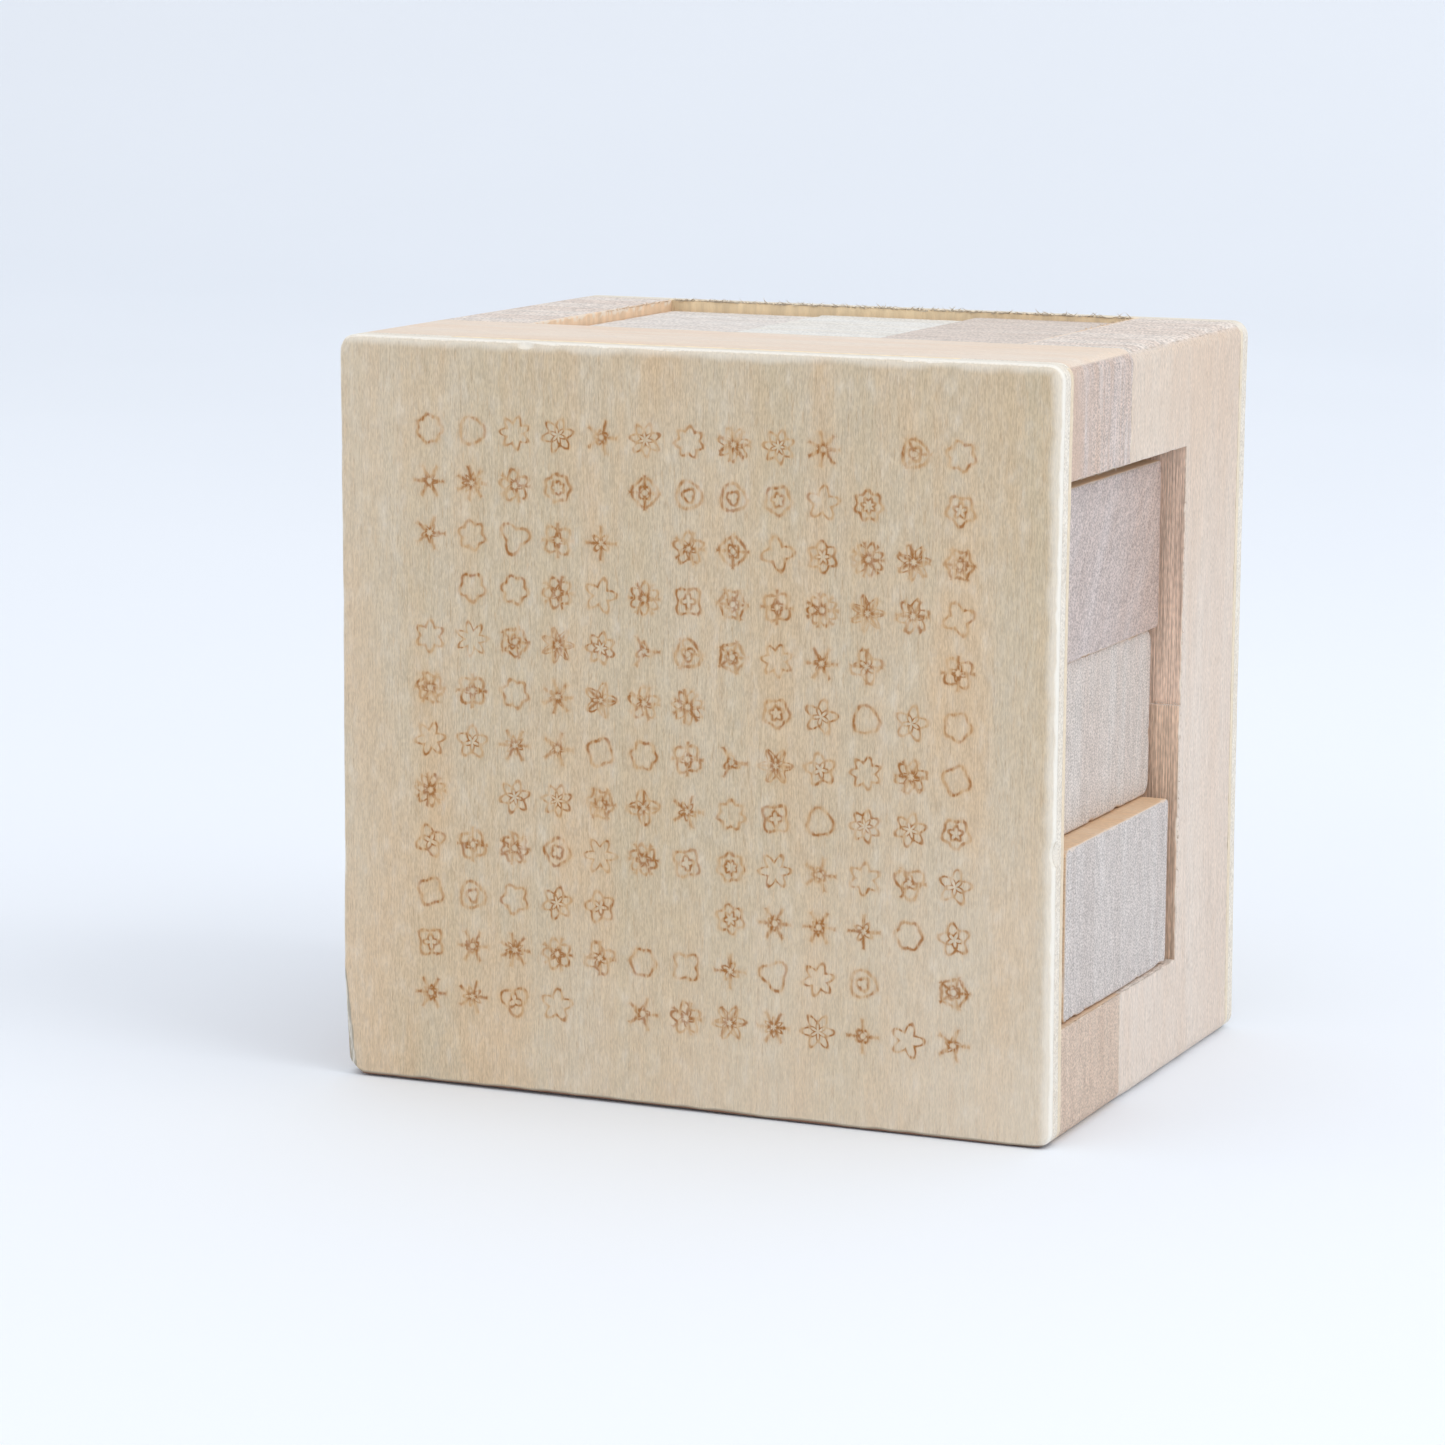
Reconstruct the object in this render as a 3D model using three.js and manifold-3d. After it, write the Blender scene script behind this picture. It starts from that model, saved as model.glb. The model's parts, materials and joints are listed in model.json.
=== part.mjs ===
// Wooden interlocking puzzle box, in millimetres, +Z up, front towards -Y.
// The origin is the middle of the underside.
//
// A square frame of hardwood blocks is glued between two plywood plates. Six long bars are trapped in
// the frame: three cross bars lie along X in the front and middle layers, and three uprights stand
// along Z in the middle and back layers. They meet in the middle layer, where notches let them pass.
// Across, in depth and in height the pocket is three cells.

import * as THREE from "three";
import { mergeVertices } from "three/addons/utils/BufferGeometryUtils.js";
import Module from "manifold-3d";

// ---- driving dimensions ----

const WIDTH = 75;
const SIDE_WALL = 11.5; // thickness of the left and right side boards
const END_WALL = 11.1; // height of the top and bottom rails
const FACE_PLY = 0.8; // outer and inner veneers of a plate
const CORE_PLY = 1.4; // cross-grained middle veneer of a plate
const CORNER_RADIUS = 1.6; // the four long corners of the box, sanded round
const ARRIS = 0.5; // softened edge round the outer face of a plate
const MILLING_STEP = 0.25; // the upper half of a window's back wall is cut this much deeper

const BAR_THICK = 16.8; // a bar is one cell thick
const BAR_DEEP = 33; // and nearly two cells deep
const KEY_BAR_DEEP = 31; // the key bar is the loosest
const BAR_LENGTH = 71;
const BAR_EDGE_RADIUS = 1; // rounding of a bar's long edges
const BAR_END_BEVEL = 0.4;

const STACK_GAP = 0.1; // between a bar and what it rests on
const RUNNING_GAP = 0.2; // left at the end of a bar's play
const NOTCH_SLACK = 0.15; // how far a notch reaches past the middle layer
const SIDE_PLAY = 1.8; // a notched cross bar shifts this far either way from the middle
const LIFT_PLAY = 1; // an upright can be lifted this far

// How far each bar's end lies inside the box's outer face.
const KEY_BAR_RECESS = 0.5;
const MIDDLE_BAR_RECESS = 3;
const UPPER_BAR_RECESS = 2.3;
const LEFT_UPRIGHT_RECESS = 1.1;
const MIDDLE_UPRIGHT_RECESS = 0.9;
const RIGHT_UPRIGHT_RECESS = 0.5;

const ARC_STEPS = 6; // straight steps in a quarter round

// ---- sizes that follow ----

const CELL = (WIDTH - 2 * SIDE_WALL) / 3;
const POCKET = 3 * CELL;
const PLATE = 2 * FACE_PLY + CORE_PLY;
const HEIGHT = POCKET + 2 * END_WALL;
const DEPTH = POCKET + 2 * PLATE;
const HALF_WIDTH = WIDTH / 2;
const HALF_POCKET = POCKET / 2;
const HALF_CELL = CELL / 2;
const OVERCUT = 5; // how far a cutting block runs past the wood it cuts

// ---- solids ----

const wasm = await Module();
wasm.setup();

// A closed triangle mesh as a solid that can be joined and cut.
function solidOf(geometry) {
  const bare = geometry.clone();
  bare.deleteAttribute("normal");
  bare.deleteAttribute("uv");
  const merged = mergeVertices(bare);
  const mesh = new wasm.Mesh({
    numProp: 3,
    vertProperties: new Float32Array(merged.attributes.position.array),
    triVerts: new Uint32Array(merged.index.array),
  });
  return new wasm.Manifold(mesh);
}

function geometryOf(solid) {
  const mesh = solid.getMesh();
  const geometry = new THREE.BufferGeometry();
  geometry.setAttribute("position", new THREE.BufferAttribute(mesh.vertProperties, 3));
  geometry.setIndex(new THREE.BufferAttribute(mesh.triVerts, 1));
  geometry.computeVertexNormals();
  return geometry;
}

// A block between two corners, to cut or trim with.
function block(low, high) {
  const size = high.map((value, axis) => value - low[axis]);
  const geometry = new THREE.BoxGeometry(...size);
  geometry.translate(...low.map((value, axis) => value + size[axis] / 2));
  return solidOf(geometry);
}

// A rectangle whose left and right corners have their own radii.
function outline(left, right, bottom, top, leftRadius, rightRadius) {
  const shape = new THREE.Shape();
  const corner = (x, y, radius, turn) => {
    if (radius > 0) {
      shape.absarc(x, y, radius, turn - Math.PI / 2, turn, false);
    } else {
      shape.lineTo(x, y);
    }
  };
  shape.moveTo(left + leftRadius, bottom);
  corner(right - rightRadius, bottom + rightRadius, rightRadius, 0);
  corner(right - rightRadius, top - rightRadius, rightRadius, Math.PI / 2);
  corner(left + leftRadius, top - leftRadius, leftRadius, Math.PI);
  corner(left + leftRadius, bottom + leftRadius, leftRadius, 1.5 * Math.PI);
  return shape;
}

// These turn an extrusion without rounding errors: the first lays its depth along -Y with the
// outline upright in XZ, and the second lays its depth along +X with the outline in YZ.
const DEPTH_ALONG_MINUS_Y = new THREE.Matrix4().set(1, 0, 0, 0, 0, 0, -1, 0, 0, 1, 0, 0, 0, 0, 0, 1);
const DEPTH_ALONG_X = new THREE.Matrix4().set(0, 0, 1, 0, 1, 0, 0, 0, 0, 1, 0, 0, 0, 0, 0, 1);

// An outline in XZ, extruded from yFront back to yBack.
function slabAlongY(shape, yFront, yBack) {
  const geometry = new THREE.ExtrudeGeometry(shape, {
    depth: yBack - yFront,
    bevelEnabled: false,
    curveSegments: ARC_STEPS,
  });
  geometry.applyMatrix4(DEPTH_ALONG_MINUS_Y);
  geometry.translate(0, yBack, 0);
  return geometry;
}

// ---- plates ----

// The front plate as one slab, with its arris sanded. The slab runs on past the inner ply, so that
// only the outer face keeps the bevel.
function frontSlab() {
  const shape = outline(-HALF_WIDTH, HALF_WIDTH, 0, HEIGHT, CORNER_RADIUS, CORNER_RADIUS);
  const geometry = new THREE.ExtrudeGeometry(shape, {
    depth: PLATE,
    curveSegments: ARC_STEPS,
    bevelThickness: ARRIS,
    bevelSize: ARRIS,
    bevelOffset: -ARRIS,
    bevelSegments: 2,
  });
  geometry.applyMatrix4(DEPTH_ALONG_MINUS_Y);
  geometry.translate(0, PLATE + ARRIS, 0);
  return solidOf(geometry);
}

// One ply of a plate, lying between two depths from the plate's outer face.
function ply(from, to) {
  const keep = block([-WIDTH, from, -OVERCUT], [WIDTH, to, HEIGHT + OVERCUT]);
  return geometryOf(frontSlab().intersect(keep));
}

// The back plate is the front one turned half round about the vertical.
function turnedRound(geometry) {
  const turned = geometry.clone();
  turned.scale(-1, -1, 1);
  return turned;
}

// ---- frame ----

// A rail runs the full width in the front layer. Its outer long corners follow the box's corners.
function frontRail(isTop) {
  const whole = outline(-HALF_WIDTH, HALF_WIDTH, 0, HEIGHT, CORNER_RADIUS, CORNER_RADIUS);
  const slab = solidOf(slabAlongY(whole, -HALF_POCKET, -HALF_CELL));
  const bottom = isTop ? HEIGHT - END_WALL : -OVERCUT;
  const top = isTop ? HEIGHT + OVERCUT : END_WALL;
  const keep = block([-WIDTH, -DEPTH, bottom], [WIDTH, DEPTH, top]);
  return geometryOf(slab.intersect(keep));
}

// The right side board stands in the middle and back layers. Its middle layer is cut away over the
// window, in two passes from the two ends that meet at half height with a small step.
function rightSideBoard() {
  const shape = outline(HALF_POCKET, HALF_WIDTH, 0, HEIGHT, 0, CORNER_RADIUS);
  const board = solidOf(slabAlongY(shape, -HALF_CELL, HALF_POCKET));
  const lowPass = block([0, -DEPTH, END_WALL], [WIDTH, HALF_CELL, HEIGHT / 2]);
  const highPass = block([0, -DEPTH, HEIGHT / 2], [WIDTH, HALF_CELL + MILLING_STEP, HEIGHT - END_WALL]);
  return board.subtract(lowPass).subtract(highPass);
}

function leftSideBoard() {
  return rightSideBoard().mirror([1, 0, 0]);
}

// ---- bars ----

// A whole bar about its own centre, before any notch.
function barBlank(halfAcross, halfUp, turn) {
  const shape = outline(-halfAcross, halfAcross, -halfUp, halfUp, BAR_EDGE_RADIUS, BAR_EDGE_RADIUS);
  const geometry = new THREE.ExtrudeGeometry(shape, {
    depth: BAR_LENGTH - 2 * BAR_END_BEVEL,
    curveSegments: ARC_STEPS / 2,
    bevelThickness: BAR_END_BEVEL,
    bevelSize: BAR_END_BEVEL,
    bevelOffset: -BAR_END_BEVEL,
    bevelSegments: 1,
  });
  geometry.translate(0, 0, BAR_END_BEVEL - BAR_LENGTH / 2);
  geometry.applyMatrix4(turn);
  return geometry;
}

function crossBarBlank(deep) {
  return barBlank(deep / 2, BAR_THICK / 2, DEPTH_ALONG_X);
}

function uprightBlank() {
  return barBlank(BAR_THICK / 2, BAR_DEEP / 2, new THREE.Matrix4());
}

// A notch in the back of a cross bar, between two places along it.
function crossNotch(from, to) {
  return block([from, -NOTCH_SLACK, -BAR_THICK], [to, BAR_DEEP, BAR_THICK]);
}

// A notch in the front of an upright, between two heights from its centre.
function uprightNotch(from, to) {
  return block([-BAR_THICK, -BAR_DEEP, from], [BAR_THICK, NOTCH_SLACK, to]);
}

// The notches in a cross bar end past the outer uprights, with room for the bar to shift.
const NOTCH_END = CELL + BAR_THICK / 2 + SIDE_PLAY + RUNNING_GAP;
// The middle bar keeps a tongue between the left and right uprights.
const TONGUE_HALF = CELL - BAR_THICK / 2 - SIDE_PLAY - RUNNING_GAP;

// The key bar is plain, so that it can slide right out.
function keyBar() {
  return crossBarBlank(KEY_BAR_DEEP);
}

function upperBar() {
  const blank = solidOf(crossBarBlank(BAR_DEEP));
  return geometryOf(blank.subtract(crossNotch(-NOTCH_END, NOTCH_END)));
}

function middleBar() {
  const blank = solidOf(crossBarBlank(BAR_DEEP));
  const leftCut = crossNotch(-NOTCH_END, -TONGUE_HALF);
  const rightCut = crossNotch(TONGUE_HALF, NOTCH_END);
  return geometryOf(blank.subtract(leftCut).subtract(rightCut));
}

// The underside and top of a cross bar, counting up from the key bar as 0.
function crossBarBottom(row) {
  return END_WALL + STACK_GAP + row * (BAR_THICK + STACK_GAP);
}

function crossBarTop(row) {
  return crossBarBottom(row) + BAR_THICK;
}

// An upright whose top lies a little below the box's top, and whose one notch reaches from under the
// key bar to the top of the cross bar that it rests on.
function upright(recess, restsOnRow) {
  const centre = HEIGHT - recess - BAR_LENGTH / 2;
  const from = crossBarBottom(0) - LIFT_PLAY - RUNNING_GAP - centre;
  const to = crossBarTop(restsOnRow) + STACK_GAP - centre;
  return geometryOf(solidOf(uprightBlank()).subtract(uprightNotch(from, to)));
}

// ---- scene ----

const FACE_WOOD = 0xcfb796;
const CORE_WOOD = 0xefe4d2;
const RAIL_WOOD = 0xe3c3a6;
const BOARD_WOOD = 0xdcc0a8;
const SANDED = 0.6; // roughness of the plates and the frame
const SAWN = 0.7; // roughness of the bars

function wood(colour, roughness) {
  return new THREE.MeshStandardMaterial({ color: colour, roughness, metalness: 0 });
}

function place(group, name, geometry, material, x = 0, y = 0, z = 0) {
  const mesh = new THREE.Mesh(geometry, material);
  mesh.name = name;
  mesh.position.set(x, y, z);
  group.add(mesh);
}

const model = new THREE.Group();

const frontPlate = new THREE.Group();
frontPlate.position.set(0, -DEPTH / 2, 0);
const backPlate = new THREE.Group();
backPlate.position.set(0, DEPTH / 2, 0);
const PLIES = [
  ["face_veneer", 0, FACE_PLY, FACE_WOOD],
  ["core_veneer", FACE_PLY, FACE_PLY + CORE_PLY, CORE_WOOD],
  ["inner_veneer", FACE_PLY + CORE_PLY, PLATE, FACE_WOOD],
];
for (const [name, from, to, colour] of PLIES) {
  place(frontPlate, `front_${name}`, ply(from, to), wood(colour, SANDED));
  place(backPlate, `back_${name}`, turnedRound(ply(from, to)), wood(colour, SANDED));
}

const frameBlocks = new THREE.Group();
place(frameBlocks, "top_front_rail", frontRail(true), wood(RAIL_WOOD, SANDED));
place(frameBlocks, "bottom_front_rail", frontRail(false), wood(RAIL_WOOD, SANDED));
place(frameBlocks, "left_side_board", geometryOf(leftSideBoard()), wood(BOARD_WOOD, SANDED));
place(frameBlocks, "right_side_board", geometryOf(rightSideBoard()), wood(BOARD_WOOD, SANDED));

const crossBars = new THREE.Group();
crossBars.position.set(0, -HALF_CELL, 0);
const CROSS_BARS = [
  ["key_bar", keyBar(), KEY_BAR_RECESS, 0xd9b490],
  ["middle_bar", middleBar(), MIDDLE_BAR_RECESS, 0xd8bfa9],
  ["upper_bar", upperBar(), UPPER_BAR_RECESS, 0xd4b9a6],
];
CROSS_BARS.forEach(([name, geometry, recess, colour], row) => {
  const x = HALF_WIDTH - recess - BAR_LENGTH / 2;
  place(crossBars, name, geometry, wood(colour, SAWN), x, 0, crossBarBottom(row) + BAR_THICK / 2);
});

const uprights = new THREE.Group();
uprights.position.set(0, HALF_CELL, 0);
const UPRIGHTS = [
  ["left_upright", LEFT_UPRIGHT_RECESS, 0, 0xd6c4b4],
  ["middle_upright", MIDDLE_UPRIGHT_RECESS, 1, 0xddd0bc],
  ["right_upright", RIGHT_UPRIGHT_RECESS, 0, 0xc6a98c],
];
UPRIGHTS.forEach(([name, recess, restsOnRow, colour], column) => {
  const z = HEIGHT - recess - BAR_LENGTH / 2;
  place(uprights, name, upright(recess, restsOnRow), wood(colour, SAWN), (column - 1) * CELL, 0, z);
});

model.add(frontPlate, backPlate, frameBlocks, crossBars, uprights);

export default model;
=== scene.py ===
"""Looks for the wooden interlocking puzzle box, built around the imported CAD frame.

Every block, ply and bar is rebuilt as worn wood: a dense shell over the CAD piece's own boxes, with
rounded arrises, nicks, frayed fibres and a solid wood material whose grain runs the way the piece
was cut. Shapes are worked out in millimetres and go to Blender in metres.
"""

import json
import math

import bpy
import numpy as np
from mathutils import Euler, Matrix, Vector


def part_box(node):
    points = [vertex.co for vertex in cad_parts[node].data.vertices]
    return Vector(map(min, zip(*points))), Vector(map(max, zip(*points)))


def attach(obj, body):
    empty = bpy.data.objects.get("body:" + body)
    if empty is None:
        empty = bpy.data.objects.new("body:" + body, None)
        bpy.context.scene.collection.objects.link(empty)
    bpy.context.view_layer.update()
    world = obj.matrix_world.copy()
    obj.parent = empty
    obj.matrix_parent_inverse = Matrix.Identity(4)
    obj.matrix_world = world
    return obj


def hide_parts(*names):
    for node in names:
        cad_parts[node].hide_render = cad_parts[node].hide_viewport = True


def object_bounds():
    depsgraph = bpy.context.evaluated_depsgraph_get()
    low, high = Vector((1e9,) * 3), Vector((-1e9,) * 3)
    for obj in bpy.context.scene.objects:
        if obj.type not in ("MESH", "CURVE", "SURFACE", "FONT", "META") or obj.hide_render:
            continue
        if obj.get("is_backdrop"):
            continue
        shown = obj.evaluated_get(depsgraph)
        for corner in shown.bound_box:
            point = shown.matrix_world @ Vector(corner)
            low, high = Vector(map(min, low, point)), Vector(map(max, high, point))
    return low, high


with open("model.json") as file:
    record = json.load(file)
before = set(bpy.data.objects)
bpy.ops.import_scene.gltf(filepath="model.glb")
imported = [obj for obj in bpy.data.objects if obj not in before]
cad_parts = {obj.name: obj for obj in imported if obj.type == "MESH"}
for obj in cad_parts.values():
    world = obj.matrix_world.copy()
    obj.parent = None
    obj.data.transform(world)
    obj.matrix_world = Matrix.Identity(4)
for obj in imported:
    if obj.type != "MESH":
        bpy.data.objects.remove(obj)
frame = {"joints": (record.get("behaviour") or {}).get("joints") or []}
scene = bpy.context.scene
cad_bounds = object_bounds()

MM = 0.001
X, Y, Z = 0, 1, 2

# ---- where the CAD pieces are ----


def box_mm(node):
    low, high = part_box(node)
    return np.array(low) / MM, np.array(high) / MM


def joint_range_mm(name):
    joint = next(j for j in frame["joints"] if j["name"] == name)
    return np.array(joint["range_m"]) / MM


FRONT_LOW, FRONT_HIGH = box_mm("front_face_veneer")
HALF_WIDTH = FRONT_HIGH[X]
HEIGHT = FRONT_HIGH[Z]
FRONT_FACE = FRONT_LOW[Y]
BACK_FACE = box_mm("back_face_veneer")[1][Y]
RAIL_HIGH = box_mm("bottom_front_rail")[1]
LAYER = -RAIL_HIGH[Y]  # the middle layer's back, as far behind the centre as the rails end before it
WINDOW_LOW = RAIL_HIGH[Z]
WINDOW_HIGH = box_mm("top_front_rail")[0][Z]
WINDOW_HALF = HALF_WIDTH - 11.45  # half the width of the windows in the top and the underside
OUTER_CORNER = 1.6  # radius of the four long corners of the box

BOX_LOW = np.array([-HALF_WIDTH, FRONT_FACE, 0.0])
BOX_HIGH = np.array([HALF_WIDTH, BACK_FACE, HEIGHT])

# ---- smooth noise ----

AXIS_PRIMES = np.array((73856093, 19349663, 83492791), np.int64)
SEED_PRIME = 2654435761
STIRS = ((13, 1274126177), (15, 668265263))  # a shift and a prime for each round of mixing
LOW_31_BITS, LOW_20_BITS = 0x7FFFFFFF, 0xFFFFF


def lattice(cell, seed):
    """A fixed pseudo-random number from 0 to 1 for each whole-number point."""
    mixed = np.bitwise_xor.reduce(cell.astype(np.int64) * AXIS_PRIMES, axis=1) ^ seed * SEED_PRIME
    for shift, prime in STIRS:
        mixed = (mixed ^ (mixed >> shift)) * prime & LOW_31_BITS
    return (mixed & LOW_20_BITS) / float(LOW_20_BITS)


def noise(points, frequency, seed):
    """Value noise from 0 to 1. Frequency is per millimetre, one number or one for each axis."""
    scaled = points * np.asarray(frequency, float)
    base = np.floor(scaled)
    part = scaled - base
    part = part * part * (3 - 2 * part)
    total = np.zeros(len(points))
    for corner in np.ndindex(2, 2, 2):
        weight = np.prod(np.where(corner, part, 1 - part), axis=1)
        total += weight * lattice(base + np.array(corner), seed)
    return total


def rough_noise(points, frequency, seed, octaves=3):
    """Several octaves of noise, still from 0 to 1."""
    total, weight = np.zeros(len(points)), 0.0
    for octave in range(octaves):
        share = 0.5**octave
        total += share * noise(points, np.asarray(frequency, float) * 2**octave, seed + octave)
        weight += share
    return total / weight


def smoothstep(values, low, high):
    t = np.clip((values - low) / (high - low), 0, 1)
    return t * t * (3 - 2 * t)


# ---- shells of blocks ----

NEAR = (0.07, 0.15, 0.25, 0.37, 0.52, 0.72, 0.98, 1.3, 1.7)  # lines drawn close beside each edge


def grid_lines(stops, step):
    """Grid lines along one axis: every stop, lines crowded beside it, and even steps between."""
    lines = set(stops)
    for start, end in zip(stops, stops[1:]):
        offsets = [n for n in NEAR if n < (end - start) / 2 - 0.02]
        lines.update(start + n for n in offsets)
        lines.update(end - n for n in offsets)
        margin = offsets[-1] if offsets else 0
        count = max(1, math.ceil((end - start - 2 * margin) / step))
        lines.update(np.linspace(start + margin, end - margin, count + 1))
    ordered = np.array(sorted(lines))
    return ordered[np.append(True, np.diff(ordered) > 1e-4)]


def solid_cells(lines, boxes):
    """Which cells of a grid lie inside any of the boxes."""
    middles = [(line[1:] + line[:-1]) / 2 for line in lines]
    solid = np.zeros([len(m) for m in middles], bool)
    for low, high in boxes:
        inside = [(m > low[a]) & (m < high[a]) for a, m in enumerate(middles)]
        solid |= inside[0][:, None, None] & inside[1][None, :, None] & inside[2][None, None, :]
    return solid


def skin_of(solid, strides):
    """The outward quads between solid and empty cells, as numbers of the grid's points."""
    padded = np.pad(solid, 1)
    quads = []
    for axis in range(3):
        others = [a for a in range(3) if a != axis]
        first, second = strides[(axis + 1) % 3], strides[(axis + 2) % 3]
        cells = np.moveaxis(padded, axis, 0)[:, 1:-1, 1:-1]
        for outward in (True, False):
            here, there = (cells[:-1], cells[1:]) if outward else (cells[1:], cells[:-1])
            found = np.argwhere(here & ~there)
            at = np.zeros_like(found)
            at[:, [axis, *others]] = found
            base = at @ strides
            ring = [base, base + first, base + first + second, base + second]
            quads.append(np.stack(ring if outward else ring[::-1], axis=1))
    return np.concatenate(quads)


def shell(boxes, step):
    """The skin of a union of boxes as points and outward quads, on a grid that follows every edge."""
    corners = np.array(boxes).reshape(-1, 3)
    lines = [grid_lines(sorted(set(np.round(corners[:, axis], 6))), step) for axis in range(3)]
    sizes = np.array([len(line) for line in lines])
    strides = np.array([sizes[1] * sizes[2], sizes[2], 1])
    quads = skin_of(solid_cells(lines, boxes), strides)
    used, packed = np.unique(quads, return_inverse=True)
    grid = np.stack(np.unravel_index(used, sizes), axis=1)
    points = np.stack([lines[a][grid[:, a]] for a in range(3)], axis=1)
    return points, packed.reshape(-1, 4)


def normals_of(points, quads):
    """Area-weighted unit normals at the points."""
    across = np.cross(points[quads[:, 2]] - points[quads[:, 0]], points[quads[:, 3]] - points[quads[:, 1]])
    total = np.zeros_like(points)
    for corner in range(4):
        np.add.at(total, quads[:, corner], across)
    return total / np.maximum(np.linalg.norm(total, axis=1, keepdims=True), 1e-12)


# ---- rounding ----


def squared_to_round(offset):
    """Bends offsets whose level lines are squares into ones whose level lines are circles."""
    longest = np.abs(offset).max(axis=1)
    length = np.linalg.norm(offset, axis=1)
    return offset * (longest / np.maximum(length, 1e-12))[:, None]


def round_edges(points, boxes, radius):
    """Rounds every outer edge of a union of boxes. Radius is one number, or one for each point."""
    reach = np.broadcast_to(radius, len(points))[:, None]
    best, nearest = np.full(len(points), np.inf), points.copy()
    for low, high in boxes:
        centre, half = (np.array(low) + high) / 2, (np.array(high) - low) / 2
        inner = np.maximum(half - reach, 0)
        clamped = np.clip(points, centre - inner, centre + inner)
        distance = np.linalg.norm(points - clamped, axis=1)
        closer = distance < best
        best[closer], nearest[closer] = distance[closer], clamped[closer]
    return nearest + squared_to_round(points - nearest)


def section(axis, low, high):
    """The two axes across a prism, and the centre and half size of its section."""
    across = [a for a in range(3) if a != axis]
    return across, (low + high)[across] / 2, (high - low)[across] / 2


def round_section(points, axis, low, high, radius):
    """Rounds the long edges of a prism along one axis, and leaves what lies well inside alone."""
    across, centre, half = section(axis, low, high)
    inner = half - radius
    flat = points[:, across]
    clamped = np.clip(flat, centre - inner, centre + inner)
    rounded = points.copy()
    rounded[:, across] = clamped + squared_to_round(flat - clamped)
    return rounded


def depth_in_section(points, axis, low, high, radius):
    """How far each point is inside a prism's rounded outline, and the outline's outward direction there."""
    across, centre, half = section(axis, low, high)
    offset = points[:, across] - centre
    beyond = np.abs(offset) - (half - radius)
    corner = np.maximum(beyond, 0)
    at_corner = (beyond > 0).all(axis=1)
    length = np.linalg.norm(corner, axis=1)
    depth = np.where(at_corner, radius - length, radius - beyond.max(axis=1))
    sideways = np.zeros_like(offset)
    rows = np.arange(len(points))
    sideways[rows, beyond.argmax(axis=1)] = 1
    direction = np.where(at_corner[:, None], corner / np.maximum(length, 1e-12)[:, None], sideways)
    outward = np.zeros_like(points)
    outward[:, across] = direction * np.sign(offset)
    return depth, outward


def round_end(points, axis, low, high, section_radius, at_high, radius):
    """Rounds the arris round one end of a prism whose long edges are already rounded."""
    depth, outward = depth_in_section(points, axis, low, high, section_radius)
    end = high[axis] if at_high else low[axis]
    back = -1.0 if at_high else 1.0
    below = (points[:, axis] - end) * back
    reach = np.broadcast_to(radius, len(points))
    side, down = reach - depth, reach - below
    near = (side > 0) & (down > 0)
    rounded = squared_to_round(np.stack([side, down], axis=1))
    moved = points.copy()
    moved[near] += (outward * (rounded[:, 0] - side)[:, None])[near]
    moved[near, axis] -= (back * (rounded[:, 1] - down))[near]
    return moved


# ---- wear ----


def nicked(radius, points, seed, often, growth):
    """An arris radius that wanders, and grows into small nicks here and there."""
    wander = 0.8 + 0.4 * noise(points, 0.25, seed)
    nick = smoothstep(rough_noise(points, 0.9, seed + 7), often, often + 0.16)
    return radius * (wander + growth * nick)


def ripple(points, quads, depth, frequency, seed):
    """Gentle hand-sanded unevenness along the normals, never outward."""
    swell = rough_noise(points, frequency, seed, octaves=2)
    return points - normals_of(points, quads) * (depth * swell)[:, None]


def gouge(points, centre, size, depth, direction, seed):
    """Presses a ragged dent of the given half sizes into the surface."""
    span = np.linalg.norm((points - centre) / np.array(size), axis=1)
    ragged = span + 0.5 * (rough_noise(points, 1.6, seed) - 0.5)
    press = depth * (1 - smoothstep(ragged, 0.35, 1.0))
    return points + np.array(direction) * press[:, None]


def cut_plane(points, through, normal):
    """Sands flat whatever stands beyond a plane."""
    facing = np.array(normal, float) / np.linalg.norm(normal)
    beyond = np.maximum((points - np.array(through)) @ facing, 0)
    return points - facing * beyond[:, None]


# ---- frayed fibres ----


def unit(vector):
    vector = np.array(vector, float)
    return vector / max(np.linalg.norm(vector), 1e-9)


FIBRE_FACES = [(0, 2, 1)]  # the foot, then on each side one face to the elbow and one to the tip
for a, b in ((0, 1), (1, 2), (2, 0)):
    FIBRE_FACES += [(a, b, 3 + b, 3 + a), (3 + a, 3 + b, 6)]


def slivers(start, end, count, length, width, lean, outward, seed, lift=0.5):
    """Torn wood fibres along an arris: thin bent tapering spikes, each a closed solid."""
    random = np.random.default_rng(seed)
    start, end = np.array(start, float), np.array(end, float)
    along_edge, outward = unit(end - start), unit(outward)
    crosswise = np.cross(along_edge, outward)
    points, faces = [], []
    for _ in range(count):
        root = start + (end - start) * random.random()
        reach = length * (0.25 + 0.75 * random.random() ** 1.5)
        thick = width * (0.6 + 0.8 * random.random())
        tilt = lean * random.choice((-1, 1)) * (0.3 + 0.7 * random.random())
        rise, sway = outward * lift * random.random(), crosswise * 0.3 * random.uniform(-1, 1)
        aim = unit(along_edge * tilt + rise + sway)
        curl = outward * random.uniform(-0.9, 0.9) * lift
        bend = unit(aim + curl + along_edge * random.uniform(-0.5, 0.5))
        side = unit(np.cross(aim, outward))
        ring = np.array([side / 2, -side / 2, np.cross(side, aim) * 0.8]) * thick
        elbow = root + aim * reach * 0.55
        faces += [tuple(len(points) + i for i in face) for face in FIBRE_FACES]
        points += [*(root - outward * thick * 0.7 + ring), *(elbow + ring * 0.6)]
        points.append(elbow + bend * reach * 0.45)
    return np.array(points), faces


# ---- putting a piece in the scene ----

FIBRE_WEAR = 0.35


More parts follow.
